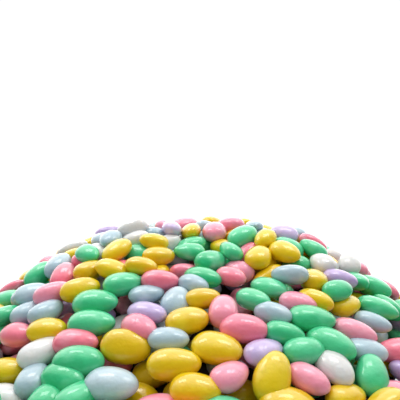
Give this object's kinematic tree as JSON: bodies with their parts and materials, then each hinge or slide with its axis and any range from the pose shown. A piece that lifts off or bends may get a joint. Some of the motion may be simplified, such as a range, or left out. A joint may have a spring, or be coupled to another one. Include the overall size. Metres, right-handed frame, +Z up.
{
  "type": "heap of sugared almonds",
  "caption": "Broad, low heap of egg-shaped sugared almonds in soft colours, lying loose, with a gentler slope at the front.",
  "frame": {"origin": "on the table, under the summit of the heap", "axes": "+Z up, +X along the heap's width, -Y towards the front slope"},
  "size_m": [0.4142, 0.4126, 0.0937],
  "materials": {
    "sugar_shell": "smooth sugar coat with a soft gloss, mixed colours",
    "yellow_shell": "smooth warm yellow sugar coat with a soft gloss",
    "pink_shell": "smooth pink sugar coat with a soft gloss",
    "green_shell": "smooth mint green sugar coat with a soft gloss",
    "blue_shell": "smooth pale blue sugar coat with a soft gloss",
    "white_shell": "smooth white sugar coat with a soft gloss",
    "lavender_shell": "smooth lavender sugar coat with a soft gloss",
    "heap_inside": "dull dark depth between the almonds"
  },
  "bodies": {
    "root": {"almond_heap": "sugar_shell"}
  },
  "joints": []
}
